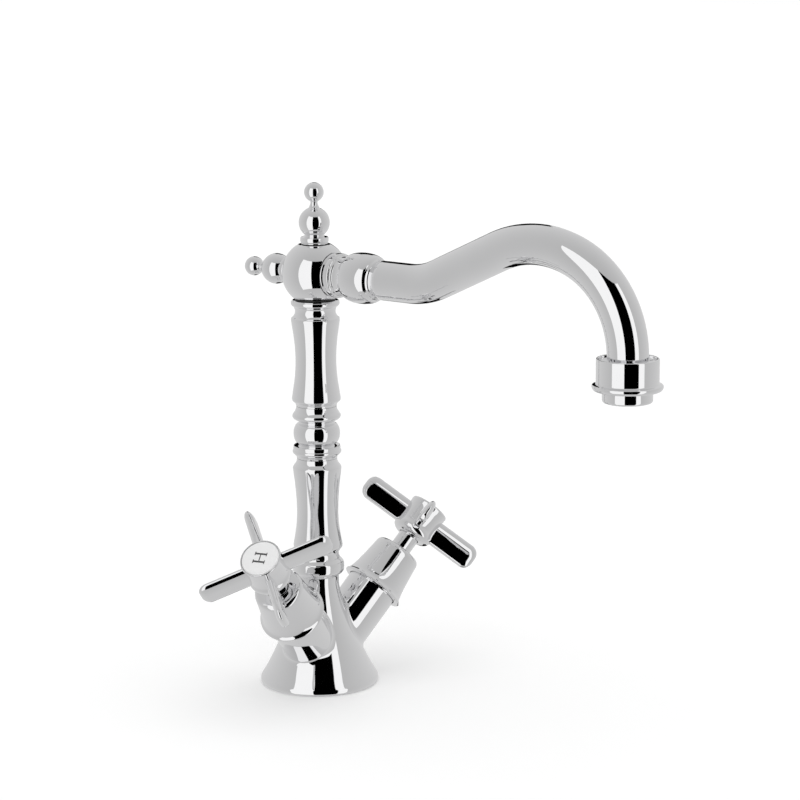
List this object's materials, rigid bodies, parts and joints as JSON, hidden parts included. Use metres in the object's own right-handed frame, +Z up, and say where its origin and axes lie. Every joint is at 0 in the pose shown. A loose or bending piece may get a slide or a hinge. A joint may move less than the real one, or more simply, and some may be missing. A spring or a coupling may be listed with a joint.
{
  "type": "bathroom mixer faucet",
  "caption": "Traditional chrome basin mixer faucet: turned pillar on a flared base, arched swivel spout with finials, and two cross-handle valves on angled arms.",
  "frame": {"origin": "centre of the round underside, where it stands on the basin's deck", "axes": "+Z up the pillar; the spout reaches out along -Y; the cold valve is on the +X side and the hot valve on the -X side"},
  "size_m": [0.1649, 0.2446, 0.2506],
  "materials": {
    "chrome_plate": "polished chrome plate on brass",
    "bare_brass": "turned, unplated",
    "stainless_steel": "bright stainless",
    "black_rubber": "matt black",
    "red_fibre": "pressed fibre",
    "alumina_ceramic": "lapped ceramic",
    "white_enamel": "enamelled index disc",
    "white_acetal": "moulded acetal",
    "black_acetal": "moulded acetal"
  },
  "bodies": {
    "pillar": {"body_casting": "chrome_plate", "base_gasket": "black_rubber", "lower_pillar": "chrome_plate", "pillar_knop": "chrome_plate", "upper_pillar": "chrome_plate", "retaining_screw": "stainless_steel", "swivel_washer": "black_acetal", "hot_valve_bell": "chrome_plate", "hot_headwork_body": "bare_brass", "hot_headwork_washer": "red_fibre", "hot_seat_seal": "black_rubber", "hot_fixed_disc": "alumina_ceramic", "cold_valve_bell": "chrome_plate", "cold_headwork_body": "bare_brass", "cold_headwork_washer": "red_fibre", "cold_seat_seal": "black_rubber", "cold_fixed_disc": "alumina_ceramic"},
    "spout": {"swivel_spigot": "bare_brass", "swivel_o_ring_1": "black_rubber", "swivel_o_ring_2": "black_rubber", "ball_hub": "chrome_plate", "top_finial": "chrome_plate", "rear_finial": "chrome_plate", "spout_union": "chrome_plate", "union_o_ring": "black_rubber", "spout_tube": "chrome_plate", "outlet_collar": "chrome_plate", "aerator_washer": "black_rubber", "aerator_housing": "chrome_plate", "aerator_cartridge": "white_acetal", "aerator_mesh": "stainless_steel"},
    "hot_handle": {"hot_spindle": "chrome_plate", "hot_moving_disc": "alumina_ceramic", "hot_spindle_o_ring": "black_rubber", "hot_cross_handle": "chrome_plate", "hot_handle_screw": "stainless_steel", "hot_index_cap": "white_enamel"},
    "cold_handle": {"cold_spindle": "chrome_plate", "cold_moving_disc": "alumina_ceramic", "cold_spindle_o_ring": "black_rubber", "cold_cross_handle": "chrome_plate", "cold_handle_screw": "stainless_steel", "cold_index_cap": "white_enamel"}
  },
  "joints": [
    {"name": "spout_swivel", "type": "hinge", "parent": "pillar", "child": "spout", "pos_m": [0, 0, 0.2063], "axis": [0, 0, 1], "continuous": true},
    {"name": "hot_handle_turn", "type": "hinge", "parent": "pillar", "child": "hot_handle", "pos_m": [-0.05885, -0.01766, 0.07258], "axis": [-0.6749, -0.2025, 0.7096], "range_deg": [0, 90]},
    {"name": "cold_handle_turn", "type": "hinge", "parent": "pillar", "child": "cold_handle", "pos_m": [0.05885, -0.01766, 0.07258], "axis": [0.6749, -0.2025, 0.7096], "range_deg": [0, 90]}
  ]
}
